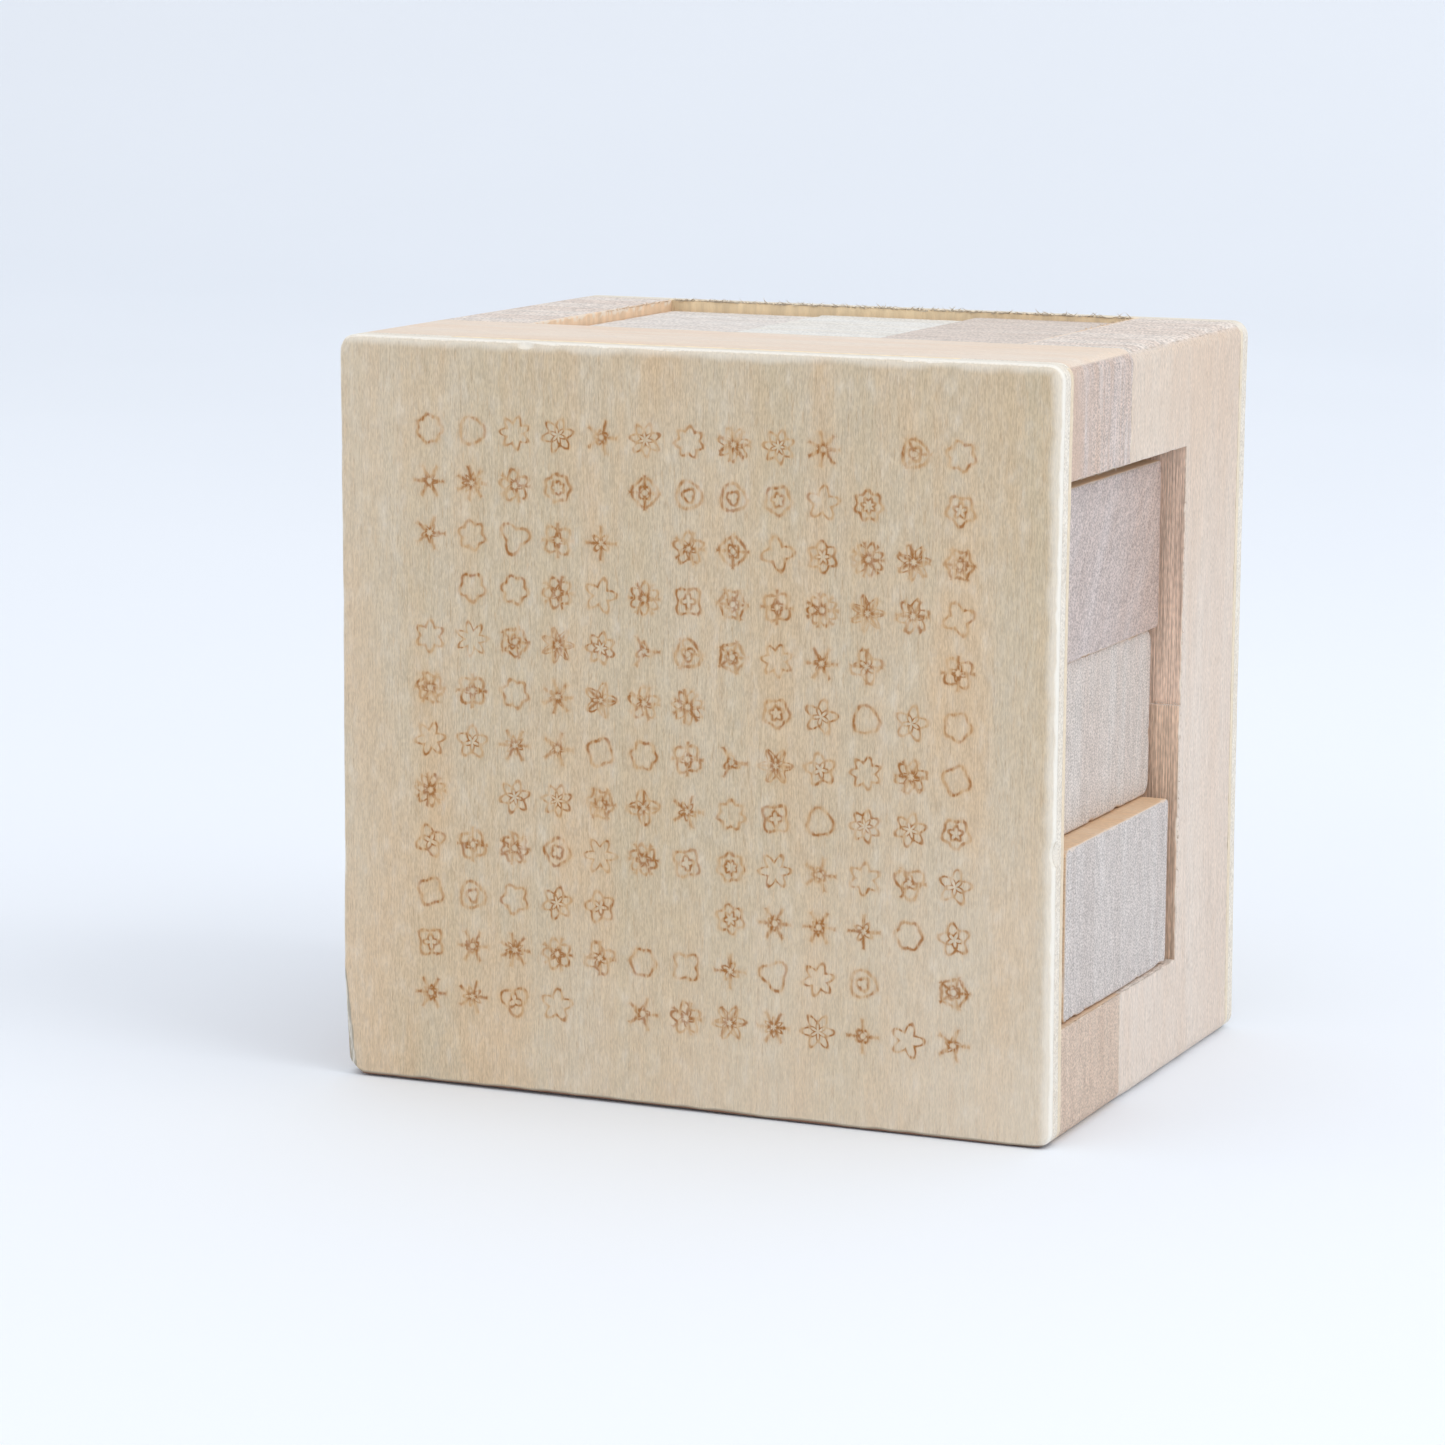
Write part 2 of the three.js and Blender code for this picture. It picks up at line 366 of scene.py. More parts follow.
def add_piece(node, body, points, quads, wear_and_shade, material, fibres=()):
    """Makes one piece from its shell and its fibres, and lets it stand for the CAD node."""
    faces = [tuple(q) for q in quads.tolist()]
    for fibre_points, fibre_faces in fibres:
        faces += [tuple(i + len(points) for i in face) for face in fibre_faces]
        points = np.concatenate([points, fibre_points])
        wear_and_shade = np.append(wear_and_shade, np.full(len(fibre_points), FIBRE_WEAR))
    name = f"worn_{node}"
    mesh = bpy.data.meshes.new(name)
    mesh.from_pydata((points * MM).tolist(), [], faces)
    # the wear channel: above 0 rubbed wear, toward -1 soiling, toward -2 painted shade along the front
    # plate's foot
    attribute = mesh.attributes.new("wear_and_shade", "FLOAT", "POINT")
    attribute.data.foreach_set("value", wear_and_shade.astype(np.float32))
    mesh.polygons.foreach_set("use_smooth", np.ones(len(mesh.polygons), bool))
    mesh.materials.append(material)
    piece = bpy.data.objects.new(name, mesh)
    scene.collection.objects.link(piece)
    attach(piece, body)
    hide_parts(node)


def worn_off(before, after, full):
    """How much wood an arris has lost at each point, from 0 to 1 at the full depth given."""
    return np.clip(np.linalg.norm(after - before, axis=1) / full, 0, 1)


# ---- material nodes ----


def linear(colour):
    """A colour given as 0 to 255 on screen, as linear light with alpha. A socket is left alone."""
    if isinstance(colour, bpy.types.NodeSocket):
        return colour
    channels = np.array(colour, float) / 255
    light = np.where(channels <= 0.04045, channels / 12.92, ((channels + 0.055) / 1.055) ** 2.4)
    return (*light.tolist(), 1.0)


class Shading:
    """A material and short ways to add nodes to it. Vectors inside it are in millimetres."""

    def __init__(self, name):
        self.material = bpy.data.materials.new(name)
        self.material.use_nodes = True
        self.nodes = self.material.node_tree.nodes
        self.links = self.material.node_tree.links
        self.surface = self.nodes["Principled BSDF"]
        coordinates = self.nodes.new("ShaderNodeTexCoord")
        self.place = self.vector("MULTIPLY", coordinates.outputs["Object"], (1000.0, 1000.0, 1000.0))
        self.facing = coordinates.outputs["Normal"]

    def join(self, socket, value):
        if isinstance(value, bpy.types.NodeSocket):
            self.links.new(value, socket)
        else:
            socket.default_value = value

    def node(self, kind, inputs):
        """A new node, with some of its inputs given by name."""
        node = self.nodes.new(f"ShaderNode{kind}")
        for name, value in inputs.items():
            self.join(node.inputs[name], value)
        return node

    def vector(self, operation, first, second):
        node = self.node("VectorMath", {})
        node.operation = operation
        self.join(node.inputs[0], first)
        self.join(node.inputs[1], second)
        return node.outputs["Vector"]

    def math(self, operation, first, second=0.0, third=0.0):
        node = self.node("Math", {})
        node.operation = operation
        for socket, value in zip(node.inputs, (first, second, third)):
            self.join(socket, value)
        return node.outputs[0]

    def plus(self, first, second):
        return self.math("ADD", first, second)

    def minus(self, first, second):
        return self.math("SUBTRACT", first, second)

    def times(self, first, second):
        return self.math("MULTIPLY", first, second)

    def ramp(self, value, slope, start):
        """The start, and slope times the value on top of it."""
        return self.math("MULTIPLY_ADD", value, slope, start)

    def most(self, first, second):
        return self.math("MAXIMUM", first, second)

    def split(self, vector):
        return self.node("SeparateXYZ", {"Vector": vector}).outputs

    def step(self, value, low, high, to_low=0.0, to_high=1.0):
        """A smooth step from one value to another."""
        ends = {"From Min": low, "From Max": high, "To Min": to_low, "To Max": to_high}
        node = self.node("MapRange", {"Value": value, **ends})
        node.interpolation_type = "SMOOTHSTEP"
        return node.outputs["Result"]

    def noise(self, per_mm, seed, detail=2.0, roughness=0.5, distortion=0.0, place=None):
        """Noise with its own frequency along each axis."""
        scaled = self.vector("MULTIPLY", place or self.place, tuple(per_mm))
        moved = self.vector("ADD", scaled, (seed * 3.71, seed * 1.93, seed * 5.17))
        kind = {"Detail": detail, "Roughness": roughness, "Distortion": distortion}
        return self.node("TexNoise", {"Vector": moved, "Scale": 1.0, **kind}).outputs["Fac"]

    def drift(self, per_mm, seed, reach, detail=3.0):
        """A shift that wanders between minus and plus the reach."""
        return self.ramp(self.noise(per_mm, seed, detail=detail), 2 * reach, -reach)

    def squareness(self, axis):
        """1 where the surface faces along an axis, either way, and 0 where it lies along it."""
        return self.math("ABSOLUTE", self.split(self.facing)[axis])

    def turned(self, degrees):
        """The place turned about the X axis, for a figure that runs at a slant."""
        node = self.node("VectorRotate", {"Vector": self.place, "Angle": math.radians(degrees)})
        node.rotation_type = "X_AXIS"
        return node.outputs["Vector"]

    def mix(self, factor, first, second, blend="MIX"):
        node = self.node("Mix", {})
        node.data_type = "RGBA"
        node.blend_type = blend
        self.join(node.inputs["Factor"], factor)
        self.join(node.inputs["A"], linear(first))
        self.join(node.inputs["B"], linear(second))
        return node.outputs["Result"]

    def shade(self, colour, factor):
        """A colour made lighter or darker by a factor round 1."""
        node = self.node("VectorMath", {})
        node.operation = "SCALE"
        light = linear(colour)
        self.join(node.inputs[0], light[:3] if isinstance(light, tuple) else light)
        self.join(node.inputs["Scale"], factor)
        return node.outputs["Vector"]

    def wear_and_shade(self):
        node = self.node("Attribute", {})
        node.attribute_name = "wear_and_shade"
        return node.outputs["Fac"]

    def bump(self, height, distance_mm, strength):
        inputs = {"Height": height, "Distance": distance_mm * MM, "Strength": strength}
        self.join(self.surface.inputs["Normal"], self.node("Bump", inputs).outputs["Normal"])


def along(axis, lengthwise, crosswise):
    """Frequencies for something stretched along one axis."""
    return tuple(lengthwise if a == axis else crosswise for a in range(3))


def swing(look, value, amount, level):
    """Adds a 0 to 1 value, centred on a half, to a brightness level."""
    return look.plus(level, look.ramp(value, amount, -amount / 2))


def side_grain(look, grain, tones, seed, contrast, blush):
    """Long fibres: broad figure, blushes of warmer wood, streaks, hairs, and dark and light flecks."""
    figure = look.noise(along(grain, 0.012, 0.11), seed, detail=3, roughness=0.6, distortion=0.6)
    warmth = look.noise(along(grain, 0.03, 0.16), seed + 11, detail=2)
    stripe = look.step(look.noise(along(grain, 0.05, 0.4), seed + 17, detail=2), 0.4, 0.68)
    fibre = look.step(look.noise(along(grain, 0.3, 6.5), seed + 23, detail=1), 0.28, 0.72)
    hair = look.step(look.noise(along(grain, 2.4, 9.5), seed + 31, detail=0), 0.25, 0.75)
    dark_fleck = look.step(look.noise(along(grain, 0.6, 6.5), seed + 41, detail=1), 0.6, 0.72)
    light_fleck = look.step(look.noise(along(grain, 0.7, 6.0), seed + 53, detail=1), 0.62, 0.74)
    cloud = look.noise((0.035, 0.035, 0.035), seed + 57, detail=2)

    colour = look.mix(look.step(figure, 0.35, 0.65), tones["base"], tones["tint"])
    blushes = look.step(warmth, 0.46, 0.75, 0.0, blush)
    for share in (blushes, look.times(stripe, blush * 0.4), look.times(dark_fleck, 0.5)):
        colour = look.mix(share, colour, tones["warm"])
    level = 1.0
    for value, amount in ((fibre, 1.15), (hair, 1.5), (cloud, 0.4)):
        level = swing(look, value, contrast * amount, level)
    level = look.ramp(dark_fleck, -0.8 * contrast, level)
    level = look.ramp(light_fleck, 0.6 * contrast, level)
    relief = look.ramp(dark_fleck, -0.6, look.ramp(hair, 0.5, fibre))
    return look.shade(colour, level), relief


def end_grain(look, ray, tones, seed, contrast, speck, slant):
    """Sawn fibre ends: soft growth bands, mottles stretched along the rays, and fine speckle."""
    place = look.turned(slant)
    soft = dict(detail=3, distortion=0.5, place=place)
    band = look.noise(along(ray, 0.03, 0.35), seed + 71, roughness=0.6, **soft)
    mottle = look.noise(along(ray, 0.42, speck * 0.55), seed + 61, roughness=0.65, **soft)
    mottle = look.step(mottle, 0.32, 0.68)
    speckle = look.step(look.noise(along(ray, 5.0, speck), seed + 67, detail=1), 0.3, 0.7)
    pore = look.step(look.noise(along(ray, 1.8, speck), seed + 83, detail=1, place=place), 0.64, 0.76)
    colour = look.mix(look.step(band, 0.3, 0.7), tones["end"], tones["end_dark"])
    level = swing(look, mottle, contrast * 1.1, 1.0)
    level = swing(look, speckle, contrast * 2.6, level)
    level = look.ramp(pore, -0.5 * contrast, level)
    relief = look.ramp(speckle, 0.8, mottle)
    return look.shade(colour, level), relief


CONTACT_SHADE = (128, 94, 76)  # painted shade: the dark brown line along the front plate's foot, where it meets the floor
GRIME = (176, 160, 140)


def wear_over(look, colour, pale, grime):
    """Wear above 0 is a rubbed, pale arris. Toward -1 it is soiled, and toward -2 it is painted dark brown,
    the shade under the front plate's foot.
    """
    wear_and_shade = look.wear_and_shade()
    rubbed = look.times(look.step(wear_and_shade, 0.05, 0.8), 0.75)
    soiled = look.step(wear_and_shade, -0.9, -0.05, 0.9, 0.0)
    # painted shade: the dark brown contact line along the front plate's foot
    contact_shaded = look.step(wear_and_shade, -1.9, -1.1, 1.0, 0.0)
    colour = look.mix(rubbed, colour, pale)
    colour = look.mix(soiled, colour, grime)
    return look.mix(contact_shaded, colour, CONTACT_SHADE)


def wood(
    name, grain, tones, seed, ray=Z, contrast=0.11, end_contrast=0.17, blush=0.6, speck=4.2,
    slant=0.0, over=(),
):
    """Solid wood whose fibres run along one axis.

    The tones are base and tint for the figure, warm for its blushes, end and end_dark for the end
    grain, pale for rubbed and grime for soiled wood. The end grain has so many specks to a
    millimetre and a figure that slants by some degrees. Functions in over change the colour last.
    """
    look = Shading(name)
    side, side_relief = side_grain(look, grain, tones, seed, contrast, blush)
    cut, cut_relief = end_grain(look, ray, tones, seed, end_contrast, speck, slant)
    end_on = look.step(look.squareness(grain), 0.64, 0.8)
    colour = look.mix(end_on, side, cut)
    for extra in over:
        colour = extra(look, colour)
    colour = wear_over(look, colour, tones["pale"], tones.get("grime", GRIME))
    look.join(look.surface.inputs["Base Color"], colour)
    relief = look.plus(look.times(cut_relief, end_on), side_relief)
    look.join(look.surface.inputs["Roughness"], look.ramp(side_relief, 0.12, 0.52))
    look.surface.inputs["Specular IOR Level"].default_value = 0.3
    look.bump(relief, 0.035, 0.6)
    return look.material


# ---- the burnt ornament on the front plate ----

MARK_COLUMNS, MARK_ROWS = 13, 12
MARK_PITCH_X, MARK_PITCH_Z = 4.6, 5.1
MARK_CENTRE_Z = 37.3
MARK_RADIUS, INNER_RADIUS = 1.3, 0.62  # middles of a mark's outer and inner outline
SPOKE_MIDDLE, SPOKE_HALF = 1.0, 0.55  # where the spokes stand, and half their length
STROKE_HALF = 0.145
BLANKS = 0.07  # share of the places left empty
HIDDEN = 9.0  # moves the strokes that a mark lacks out of reach
INK_PALE, INK_DARK, SCORCH = (188, 141, 82), (156, 104, 50), (200, 150, 92)


def within_count(look, value, count):
    """1 between 0 and count, and 0 elsewhere."""
    above = look.math("GREATER_THAN", value, 0.0)
    below = look.math("LESS_THAN", value, float(count))
    return look.times(above, below)


def mark_places(look):
    """The column and row of a point in the block of marks, and 1 inside the block."""
    x, _, z = look.split(look.place)
    column = look.math("DIVIDE", look.plus(x, MARK_COLUMNS * MARK_PITCH_X / 2), MARK_PITCH_X)
    row_low = MARK_CENTRE_Z - MARK_ROWS * MARK_PITCH_Z / 2
    row = look.math("DIVIDE", look.minus(z, row_low), MARK_PITCH_Z)
    within = look.times(within_count(look, column, MARK_COLUMNS), within_count(look, row, MARK_ROWS))
    return column, row, within


def mark_dice(look, column, row):
    """Three random numbers that pick a mark's shape, and one that leaves its place empty."""
    whole = {"X": look.math("FLOOR", column), "Y": look.math("FLOOR", row)}
    cell = look.node("CombineXYZ", whole)
    dice = look.node("TexWhiteNoise", {"Vector": cell.outputs[0]})
    return look.split(dice.outputs["Color"]), dice.outputs["Value"]


def from_mark_middle(look, column, row):
    """How far a point is from the middle of its mark, a little uneven, and in which direction."""
    across = look.times(look.minus(look.math("FRACT", column), 0.5), MARK_PITCH_X)
    up = look.times(look.minus(look.math("FRACT", row), 0.5), MARK_PITCH_Z)
    squares = look.plus(look.math("POWER", across, 2.0), look.math("POWER", up, 2.0))
    wobble = look.drift((1.3, 1.3, 1.3), 91, 0.25, detail=2)
    radius = look.plus(look.math("SQRT", squares), look.times(wobble, 0.35))
    return radius, look.math("ARCTAN2", up, across)


def stroke_gap(look, radius, turn, lobes_die, depth_die, kind_die):
    """How far a point is from the nearest stroke of its mark.

    The outlines are closed curves with 3 to 7 lobes round a centre, so none is a letter or a sign.
    """
    lobes = look.math("FLOOR", look.ramp(lobes_die, 4.99, 3.0))
    wave = look.math("COSINE", look.ramp(turn, lobes, look.times(depth_die, 6.28)))
    depth = look.ramp(depth_die, 0.34, 0.08)
    outline = look.ramp(wave, depth, MARK_RADIUS)
    inner = look.ramp(wave, look.times(depth, -0.8), INNER_RADIUS)
    spoke = look.math("ABSOLUTE", look.math("SINE", look.times(turn, look.times(lobes, 0.5))))
    spoke_side = look.times(look.times(spoke, radius), look.math("DIVIDE", 2.0, lobes))
    spoke_end = look.minus(look.math("ABSOLUTE", look.minus(radius, SPOKE_MIDDLE)), SPOKE_HALF)
    parts = (
        (look.math("ABSOLUTE", look.minus(radius, outline)), look.step(kind_die, 0.80, 0.81, 1.0, 0.0)),
        (look.math("ABSOLUTE", look.minus(radius, inner)), look.step(kind_die, 0.30, 0.31)),
        (look.most(spoke_side, spoke_end), look.step(kind_die, 0.55, 0.56)),
    )
    gaps = [look.plus(gap, look.times(look.minus(1.0, shown), HIDDEN)) for gap, shown in parts]
    nearest = look.math("MINIMUM", look.math("MINIMUM", gaps[0], gaps[1]), gaps[2])
    return look.minus(nearest, look.drift((2.6, 2.6, 1.2), 95, 0.18, detail=2))


def burnt_marks(look):
    """A block of small burnt rosettes, rings and rayed dots: strokes, their halos and a hot middle."""
    column, row, within = mark_places(look)
    shape_dice, blank_die = mark_dice(look, column, row)
    radius, turn = from_mark_middle(look, column, row)
    gap = stroke_gap(look, radius, turn, *shape_dice)
    core = look.step(gap, STROKE_HALF * 0.2, STROKE_HALF + 0.13, 1.0, 0.0)
    halo = look.step(gap, STROKE_HALF, STROKE_HALF + 0.4, 1.0, 0.0)
    shown = look.times(within, look.math("GREATER_THAN", blank_die, BLANKS))
    knot = look.step(radius, 0.2, 0.9, 0.6, 0.0)
    return look.times(core, shown), look.times(halo, shown), knot


def burn(look, colour):
    """Lays the marks on a colour: scorched unevenly, and broken up by the fibres."""
    core, halo, knot = burnt_marks(look)
    patch = look.step(look.noise((0.45, 0.45, 0.45), 97, detail=3), 0.32, 0.68)
    broken = look.step(look.noise((3.4, 3.4, 0.55), 99, detail=2), 0.3, 0.62, 0.25, 1.0)
    heat = look.times(look.ramp(patch, 0.55, 0.55), broken)
    heat = look.math("MINIMUM", look.plus(heat, knot), 1.0)
    toned = look.mix(look.times(halo, 0.15), colour, SCORCH)
    ink = look.mix(look.step(heat, 0.3, 1.0), INK_PALE, INK_DARK)
    return look.mix(look.times(core, heat), toned, ink)


def paler_low_right_and_left(look, colour):
    """The face is paler and less yellow toward the lower right, and along the left side."""
    x, _, z = look.split(look.place)
    drift = look.drift((0.05, 0.05, 0.05), 111, 20.0, detail=2)
    down = look.plus(look.minus(look.times(x, 0.7), z), drift)
    low_right = look.step(down, -38.0, 34.0, 0.0, 0.8)
    left = look.step(look.plus(x, look.times(drift, 0.2)), -38.0, -26.0, 0.35, 0.0)
    paler = look.shade(look.mix(0.5, colour, (224, 212, 198)), 1.06)
    return look.mix(look.most(low_right, left), colour, paler)


def sanded_through(sign, face_y, seed):
    """The face ply is tan outside and cream a fifth of a millimetre down, and paler near its arris."""

    def lay(look, colour):
        x, y, z = look.split(look.place)
        depth = look.times(look.minus(y, face_y), sign)
        depth = look.plus(depth, look.drift((1.1, 1.1, 0.5), seed + 5, 0.18))
        pale = look.times(look.step(depth, -0.02, 0.42), 0.94)
        drift = look.drift((0.35, 0.35, 0.35), seed + 9, 0.6)
        top = look.step(look.plus(z, drift), HEIGHT - 1.2, HEIGHT - 0.3, 0.0, 0.45)
        side = look.step(look.plus(x, drift), HALF_WIDTH - 1.5, HALF_WIDTH - 0.5, 0.0, 0.5)
        pale = look.most(pale, look.most(top, side))
        return look.mix(pale, colour, (243, 239, 230))

    return lay


def veneer_face(name, seed, sign, face_y, marked):
    """A plate's outer ply: tan birch, sanded through to cream round its arris."""
    tones = dict(
        base=(200, 184, 159), tint=(197, 180, 152), warm=(207, 180, 146), end=(232, 222, 206),
        end_dark=(222, 208, 190), pale=(236, 229, 216), grime=(158, 149, 132),
    )
    over = [paler_low_right_and_left, burn] if marked else [paler_low_right_and_left]
    over.append(sanded_through(sign, face_y, seed))
    return wood(name, Z, tones, seed, contrast=0.12, blush=0.8, over=over)


# ---- the pieces ----


def plate_radius(points, seed):
    """The front plate's arris is rubbed most on its right side and least along the bottom."""
    right = smoothstep(points[:, X], HALF_WIDTH - 6, HALF_WIDTH)
    bottom = smoothstep(-points[:, Z], -4, 0) * (1 - right)
    top = smoothstep(points[:, Z], HEIGHT - 4, HEIGHT) * (1 - right)
    radius = 0.5 + 0.3 * right - 0.2 * bottom + 0.12 * top
    return nicked(radius, points, seed, often=0.66, growth=0.35)


def plate_ply(node, at_front, seed, step, material):
    """One ply of a plate, rounded as part of the whole plate so that the plies stay flush."""
    low, high = box_mm(node)
    points, quads = shell([(low, high)], step)
    before = points.copy()
    points = round_section(points, Y, BOX_LOW, BOX_HIGH, OUTER_CORNER)
    radius = plate_radius(points if at_front else points * (1, -1, 1), seed)
    points = round_end(points, Y, BOX_LOW, BOX_HIGH, OUTER_CORNER, not at_front, radius)
    wear_and_shade = worn_off(before, points, 0.6)
    if at_front:
        points, wear_and_shade = front_plate_damage(points)
    points = settled(bowed(ripple(points, quads, 0.035, 0.09, seed + 3)))
    fibres = []
    if node == "back_inner_veneer":
        edge, reach = low[Y] + 0.03, 25.8
        for height, aim, count in ((HEIGHT - 0.05, (0, -0.8, 0.6), 620), (0.5, (0, -1, 0.1), 90)):
            start, end = (-reach, edge, height), (reach, edge, height)
            fibres.append(slivers(start, end, count, 1.1, 0.11, 1.3, aim, seed, lift=0.8))
    add_piece(node, "box", points, quads, wear_and_shade, material, fibres)


def front_plate_damage(points):
    """The chips in the top arris, the splinter in the right edge, the rubbed lower left corner, and painted
    shade along the plate's foot.
    """
    before = points.copy()
    for dent in (
        ((-17.3, FRONT_FACE, HEIGHT - 0.3), (0.9, 0.5, 0.5), 0.32, (0, 0.7, -0.6), 5),
        ((-26.3, FRONT_FACE, HEIGHT), (1.4, 0.4, 0.3), 0.12, (0, 0.5, -0.7), 6),
        ((22.3, FRONT_FACE, HEIGHT), (1.6, 0.4, 0.3), 0.14, (0, 0.6, -0.6), 8),
        ((HALF_WIDTH, FRONT_FACE + 0.6, 28.4), (0.5, 1.0, 1.3), 0.4, (-1, 0.3, 0), 7),
    ):
        points = gouge(points, *dent)
    chipped = np.linalg.norm(points - before, axis=1)
    facet = cut_plane(points, (-HALF_WIDTH + 0.5, FRONT_FACE, 9.5), (-1.0, -1.0, -0.12))
    facet = cut_plane(facet, (-HALF_WIDTH + 1.3, FRONT_FACE, 0.9), (-0.8, -0.5, -1.0))
    soiled = np.linalg.norm(facet - points, axis=1)
    patchy = 0.35 + 0.65 * smoothstep(rough_noise(points, (1.4, 1.4, 0.5), 19), 0.35, 0.6)
    wear_and_shade = np.clip(chipped / 0.15, 0, 1) - np.clip(soiled / 0.06, 0, 1) * patchy
    # painted shade: the foot of the plate is pushed toward -2, drawn as a dark brown contact line
    foot = 1 - smoothstep(before[:, Z] + 0.25 * noise(before, 0.6, 17), 0.2, 0.6)
    return facet, wear_and_shade - 2 * foot


def bowed(points):
    """The sides draw in slightly at mid height, as hand sanding leaves them."""
    middle = np.clip(1 - ((points[:, Z] - HEIGHT / 2) / (HEIGHT / 2)) ** 2, 0, 1)
    outer = smoothstep(np.abs(points[:, X]), HALF_WIDTH - 3, HALF_WIDTH)
    points[:, X] -= np.sign(points[:, X]) * 0.18 * middle * outer
    return points


STAND_GAP = 0.26  # how far the front of the box is rubbed clear of what it stands on, at most


def settled(points):
    """The front edge rides clear of the floor in the middle, and nothing goes below the floor."""
    across = np.exp(-(((points[:, X] + 14) / 22) ** 2))
    forward = smoothstep(-points[:, Y], LAYER - 6, LAYER)
    clear = (0.1 + (STAND_GAP - 0.1) * across) * forward * smoothstep(-points[:, Z], -2.0, -0.1)
    points[:, Z] = np.maximum(points[:, Z] + clear, 0.0)
    return points


def away_from_corners(points):
    """0 at the four long corners of the box, which have their own rounding, and 1 elsewhere."""
    across = smoothstep(np.abs(points[:, X]), HALF_WIDTH - OUTER_CORNER - 0.4, HALF_WIDTH - OUTER_CORNER)
    middle = np.abs(points[:, Z] - HEIGHT / 2)
    upward = smoothstep(middle, HEIGHT / 2 - OUTER_CORNER - 0.4, HEIGHT / 2 - OUTER_CORNER)
    return 1 - across * upward


def torn_edges(points, seed):
    """Ragged pale fibres over the long outer corners and along the top arris of the window."""
    inner = 1 - smoothstep(np.abs(points[:, X]), HALF_WIDTH - 11.2, HALF_WIDTH - 10.9)
    window_arris = inner * smoothstep(points[:, Z], HEIGHT - 0.8, HEIGHT - 0.2)
    corners = 0.25 * (1 - away_from_corners(points))
    ragged = smoothstep(noise(points, (0.5, 4.6, 0.9), seed), 0.42, 0.66)
    return ragged * np.maximum(corners, window_arris)


FRAME_ARRIS = 0.14


def frame_block(node, boxes, material, seed, step, fibres, tearing=0.0):
    """A block of the glued frame: small rough arrises, and the box's own long corners."""
    points, quads = shell(boxes, step)
    before = points.copy()
    arris = nicked(FRAME_ARRIS, points, seed, often=0.55, growth=1.5) * away_from_corners(points)
    points = round_edges(points, boxes, np.maximum(arris, 1e-4))
    wear_and_shade = worn_off(before, points, 0.1)
    wear_and_shade = np.maximum(wear_and_shade, tearing * torn_edges(points, seed + 9))
    points = round_section(points, Y, BOX_LOW, BOX_HIGH, OUTER_CORNER)
    points = settled(bowed(ripple(points, quads, 0.03, 0.1, seed + 3)))
    add_piece(node, "box", points, quads, wear_and_shade, material, fibres)


def rail_fibres(box, seed):
    """Torn fibres where the saw left a rail's ends, on the window side and away from the bars."""
    low, high = box
    edge_z = low[Z] if low[Z] > 0 else high[Z]
    down = -0.5 if low[Z] > 0 else 0.0
    frays = []
    for side in (-1, 1):
        start = (side * (HALF_WIDTH - 0.12), low[Y] + 1, edge_z + 0.05)
        end = (start[0], high[Y], start[2])
        frays.append(slivers(start, end, 70, 0.4, 0.07, 1.2, (side, 0, down), seed + side, lift=0.7))
    return frays


def board_fibres(side, seed):
    """Torn fibres along a side board's top arrises, the seam in its wall and its window's edge."""
    edge, inner = side * (HALF_WIDTH - 0.1), side * WINDOW_HALF
    top, seam = HEIGHT - 0.08, HEIGHT / 2 + 0.15
    worn = OUTER_CORNER * (1 - math.sqrt(0.5))  # how far the rounding takes the corner in
    arris, high = side * (HALF_WIDTH - worn), HEIGHT - worn
    jamb, back = LAYER + 0.05, 25
    sill, lintel = (edge, jamb, WINDOW_LOW + 1), (edge, jamb, WINDOW_HIGH - 1)
    ledge, ledge_end = (edge, -14, WINDOW_LOW), (edge, LAYER, WINDOW_LOW)
    rows = (
        ((arris, -8, high), (arris, back, high), 60, 0.6, 0.06, 0.8, (side, 0, 0.9), 0.2),
        ((edge, LAYER, seam), (inner, LAYER + 0.1, seam), 70, 0.45, 0.08, 0.8, (0, -1, 0.5), 0.5),
        ((inner, LAYER, top), (inner, back, top), 160, 0.6, 0.1, 1.2, (-side, 0, 0.9), 0.5),
        (sill, lintel, 150, 0.4, 0.06, 1.2, (side, -0.6, 0), 0.5),
        (ledge, ledge_end, 130, 0.5, 0.07, 1.1, (side, 0, 0.7), 0.5),
    )
    return [slivers(*row[:-1], seed + index, lift=row[-1]) for index, row in enumerate(rows)]


def warm_end(look, colour):
    """The end of a rail is browner toward the plate, in ragged upright streaks."""
    facing = look.step(look.squareness(X), 0.6, 0.9)
    drift = look.drift((1.0, 0.5, 0.12), 161, 8.0)
    near = look.step(look.plus(look.split(look.place)[Y], drift), -26.0, -17.0, 0.85, 0.0)
    pale = look.step(look.noise((1.0, 0.9, 0.09), 163, detail=3), 0.5, 0.68, 0.0, 0.55)
    brown = look.step(look.noise((1.0, 0.9, 0.07), 167, detail=3), 0.5, 0.66, 0.0, 0.6)
    streaked = look.mix(pale, colour, (222, 214, 210))
    streaked = look.mix(brown, streaked, (192, 168, 152))
    warmed = look.mix(near, streaked, (206, 178, 158))
    return look.mix(facing, colour, look.mix(0.25, warmed, colour))


def unsanded(look, colour):
    """A plate's inner face, where the windows leave it bare, is browner than its edges."""
    lining = look.step(look.math("ABSOLUTE", look.split(look.place)[X]), 26.2, 26.6, 1.0, 0.0)
    coarse = look.step(look.noise((1.1, 1.1, 0.2), 151, detail=2), 0.3, 0.7, 0.87, 1.06)
    fresh = look.times(lining, look.step(look.wear_and_shade(), 0.0, 0.4, 1.0, 0.0))
    return look.mix(fresh, colour, look.shade((249, 228, 192), coarse))


